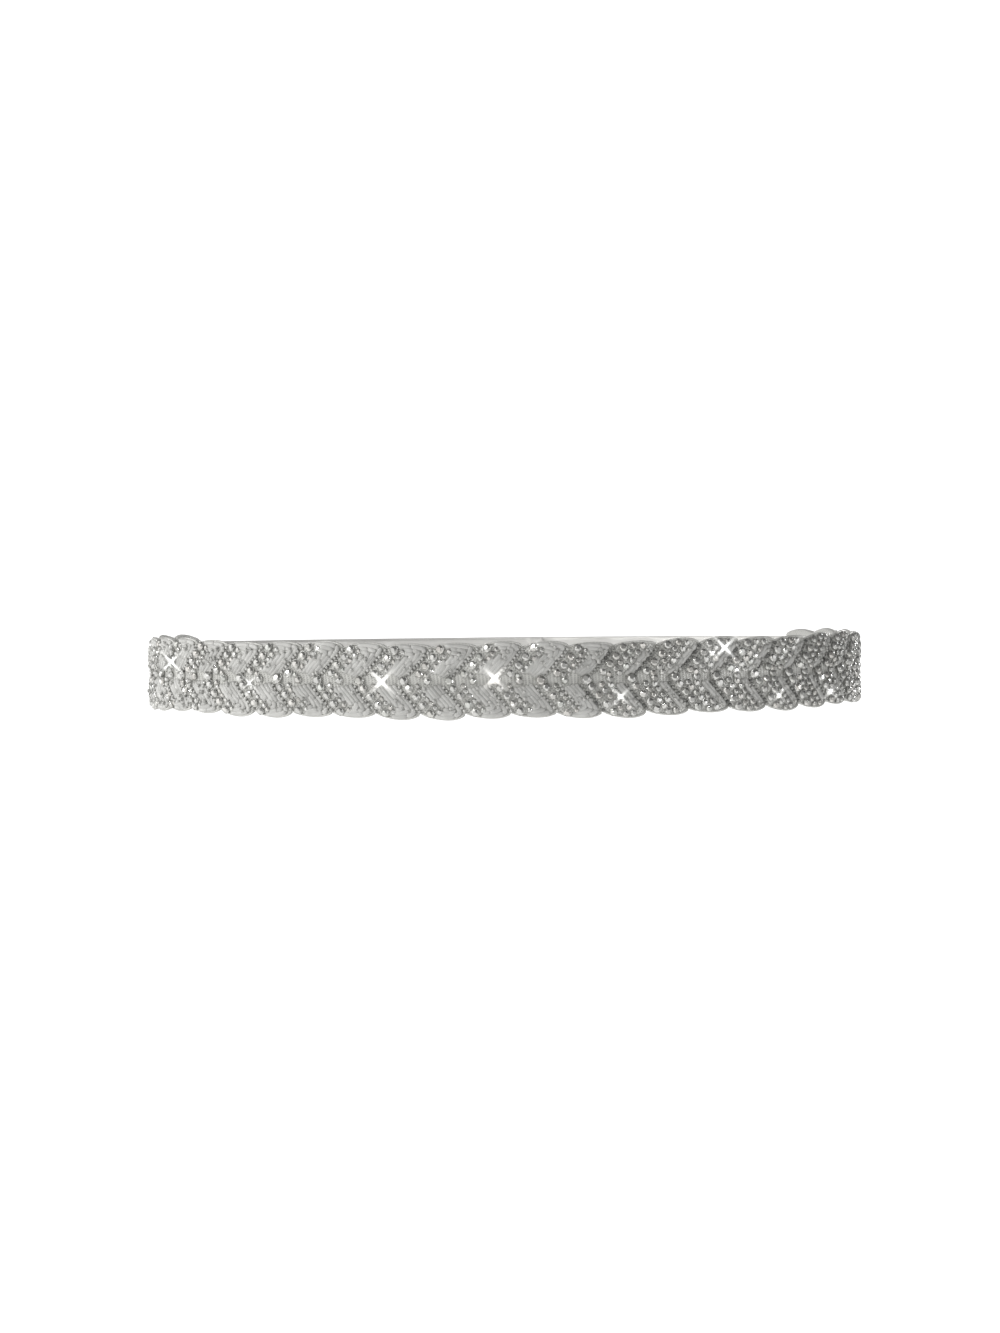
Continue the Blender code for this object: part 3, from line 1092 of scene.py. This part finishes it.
CAMERA_DISTANCE = 1.2
CAMERA_ELEVATION = math.radians(1.15)
CAMERA_ROLL = math.radians(0.55)  # so that the band rises a little to the right
FRAME_PIXELS = (1000, 1333)
PIXELS_PER_METRE = 2610.0  # at the waist's middle
WAIST_PIXEL = (504.0, 668.5)  # where the waist's middle stands in the frame
SENSOR = 36.0


def make_camera():
    data = bpy.data.cameras.new("camera")
    camera = new_object("camera", data)
    data.sensor_width = SENSOR
    data.lens = SENSOR * CAMERA_DISTANCE * PIXELS_PER_METRE / FRAME_PIXELS[1]
    data.clip_start, data.clip_end = 0.05, 60
    aside = (FRAME_PIXELS[0] / 2 - WAIST_PIXEL[0]) / PIXELS_PER_METRE
    above = (WAIST_PIXEL[1] - FRAME_PIXELS[1] / 2) / PIXELS_PER_METRE
    height = CAMERA_DISTANCE * math.sin(CAMERA_ELEVATION) + above
    camera.location = (aside, -CAMERA_DISTANCE * math.cos(CAMERA_ELEVATION), height)
    camera.rotation_euler = (math.pi / 2 - CAMERA_ELEVATION, CAMERA_ROLL, 0)
    bpy.context.scene.camera = camera


LIGHTS = (
    # name, place, breadth and height, power in watts, colour where it isn't white
    ("key", (-1.1, -1.2, 1.1), (1.1, 1.1), 7.1, (1.0, 0.993, 0.975)),
    ("fill", (1.5, -1.1, 0.2), (1.1, 1.1), 3.4),
    ("front", (-0.35, -2.0, -0.4), (0.8, 0.6), 0.6),
    ("left", (-1.7, -0.2, 0.0), (1.8, 1.6), 2.8),
    ("back", (1.0, 1.3, 0.4), (0.3, 0.5), 6),
    ("back_fill", (-1.4, 1.2, 0.1), (0.5, 0.5), 2),
)
GLINTS = (
    # the stones that flash: kind, length from centre front and height in millimetres, power in watts
    ("small", -137, 5, 1.00),
    ("small", -94.5, -2, 0.35),
    ("small", -66.5, 11, 0.12),
    ("between", -43, 0, 0.50),
    ("centre", -3.5, 0, 0.30),
    ("medium", 40, -6, 0.40),
    ("medium", 79, 10, 0.75),
    ("medium", 103.5, -9.5, 0.20),
    ("stone", 131.5, -8, 0.14),
)
GLINT_DISTANCE = 1.3
GLINT_LAMP = (0.025, 0.025)


def area_light(name, location, size, power, colour=(1, 1, 1), target=(0, 0, 0)):
    data = bpy.data.lights.new(name, "AREA")
    data.shape = "RECTANGLE"
    data.size, data.size_y = size
    data.energy = power
    data.color = colour
    light = new_object(name, data)
    light.location = location
    light.rotation_euler = (Vector(target) - Vector(location)).to_track_quat("-Z", "Y").to_euler()
    light.visible_camera = False


def make_glints(places):
    """A small lamp for each stone that flashes, where its table mirrors it to the camera."""
    camera = np.array(bpy.context.scene.camera.location)
    for number, (kind, length, height, power) in enumerate(GLINTS):
        wanted = place(length * MM, APPLIQUE_INNER + BACKING, height * MM, APPLIQUE_LINE)
        seats = [seat_rows for seat_rows, _ in places[kind]]
        here, _, _, out = min(seats, key=lambda rows: np.linalg.norm(rows[0] - wanted))
        view = unit(camera - here)
        mirrored = 2 * np.dot(out, view) * out - view
        location = here + GLINT_DISTANCE * mirrored
        area_light(f"glint_{number}", location, GLINT_LAMP, power, target=here)


GLARES = {
    "BLOOM": {"Threshold": 1.2, "Smoothness": 0.3, "Strength": 1.0, "Size": 0.1},
    "STREAKS": {
        "Threshold": 3.0, "Smoothness": 0.1, "Strength": 0.5, "Streaks": 4,
        "Streaks Angle": math.radians(45), "Iterations": 3, "Fade": 0.85, "Color Modulation": 0.0,
    },
}


def make_stars():
    """The lens's soft four-pointed stars round the brightest glints."""
    scene = bpy.context.scene
    scene.use_nodes = True
    tree = scene.node_tree
    tree.nodes.clear()
    picture = tree.nodes.new("CompositorNodeRLayers").outputs["Image"]
    for kind, settings in GLARES.items():
        glare = tree.nodes.new("CompositorNodeGlare")
        glare.glare_type = kind
        glare.quality = "HIGH"
        for name, value in settings.items():
            glare.inputs[name].default_value = value
        tree.links.new(picture, glare.inputs["Image"])
        picture = glare.outputs["Image"]
    result = tree.nodes.new("CompositorNodeComposite")
    tree.links.new(picture, result.inputs["Image"])


BRIGHT_WAY = (-0.5, 0.3, -0.55)  # the studio's walls are brightest this way
WALL_LIGHT = {"From Min": -0.65, "From Max": 0.35, "To Min": 0.13, "To Max": 0.95}
BACK_SHADE = {"From Min": 0.1, "From Max": 0.9, "To Min": 1.0, "To Max": 0.4}
WALL_COLOUR = (1.0, 0.995, 0.975, 1)
BACKDROP = {"Color": (1, 1, 1, 1), "Strength": 1.0}  # what the camera sees of the walls


def make_world():
    """Soft studio walls, bright low on the left and dark high on the right, and dimmer behind."""
    world = bpy.data.worlds.new("studio")
    bpy.context.scene.world = world
    n = Nodes(world)
    n.tree.nodes.clear()
    way = n.add("TexCoord").outputs["Generated"]

    def ranged(value, settings):
        inputs = {"Value": value, **settings}
        return n.add("MapRange", inputs, interpolation_type="SMOOTHSTEP").outputs["Result"]

    towards = n.add("VectorMath", {0: way, 1: BRIGHT_WAY}, operation="DOT_PRODUCT").outputs["Value"]
    back = n.add("SeparateXYZ", {0: way}).outputs["Y"]
    strength = n.math("MULTIPLY", ranged(towards, WALL_LIGHT), ranged(back, BACK_SHADE))
    lit = n.add("Background", {"Color": WALL_COLOUR, "Strength": strength}).outputs[0]
    seen = n.add("Background", BACKDROP).outputs[0]
    camera_ray = n.add("LightPath").outputs["Is Camera Ray"]
    mix = n.add("MixShader", {0: camera_ray, 1: lit, 2: seen}).outputs[0]
    n.add("OutputWorld", {0: mix})


FLOOR_HEIGHT = -0.45
FLOOR_FRONT = -4.0
SWEEP_START = 1.6
SWEEP_RADIUS = 1.0
SWEEP_STEPS = 16
SWEEP_TOP = 3.0
STAGE_HALF_WIDTH = 5.0


def make_stage():
    """A pale floor that sweeps up into a backdrop."""
    profile = [(FLOOR_FRONT, FLOOR_HEIGHT), (SWEEP_START, FLOOR_HEIGHT)]
    for i in range(1, SWEEP_STEPS + 1):
        angle = math.pi / 2 * i / SWEEP_STEPS
        back = SWEEP_START + SWEEP_RADIUS * math.sin(angle)
        profile.append((back, FLOOR_HEIGHT + SWEEP_RADIUS * (1 - math.cos(angle))))
    profile.append((SWEEP_START + SWEEP_RADIUS, SWEEP_TOP))
    points = [(x, y, z) for y, z in profile for x in (-STAGE_HALF_WIDTH, STAGE_HALF_WIDTH)]
    n = Material("pale_stage", Roughness=0.9, Emission_Color=(1, 1, 1, 1), Emission_Strength=0.92)
    n.paint("Base Color", n.noise(3.0, 2), (0.3, 0.88), (0.7, 0.92))
    stage = mesh_object("stage", points, grid_faces(len(profile), 2, closed=False), n.material)
    stage.visible_glossy = False
    stage.visible_diffuse = False


def main():
    ribbon = make_ribbon(satin_material())
    backing = make_backing(net_material())
    cord = make_cord(cord_material())
    purl = make_purl(purl_material())
    places = bead_places()
    beads = make_beads(places, stone_material(), silver_material())
    nickel = nickel_material()
    for node in ("hook_upper", "hook_lower", "bar_upper", "bar_lower"):
        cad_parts[node].data.materials[0] = nickel
    stitches = make_stitches(thread_material())
    make_camera()
    make_stage()
    for light in LIGHTS:
        area_light(*light)
    make_glints(places)
    make_world()
    make_stars()
    bpy.context.scene.view_settings.view_transform = "Standard"


main()
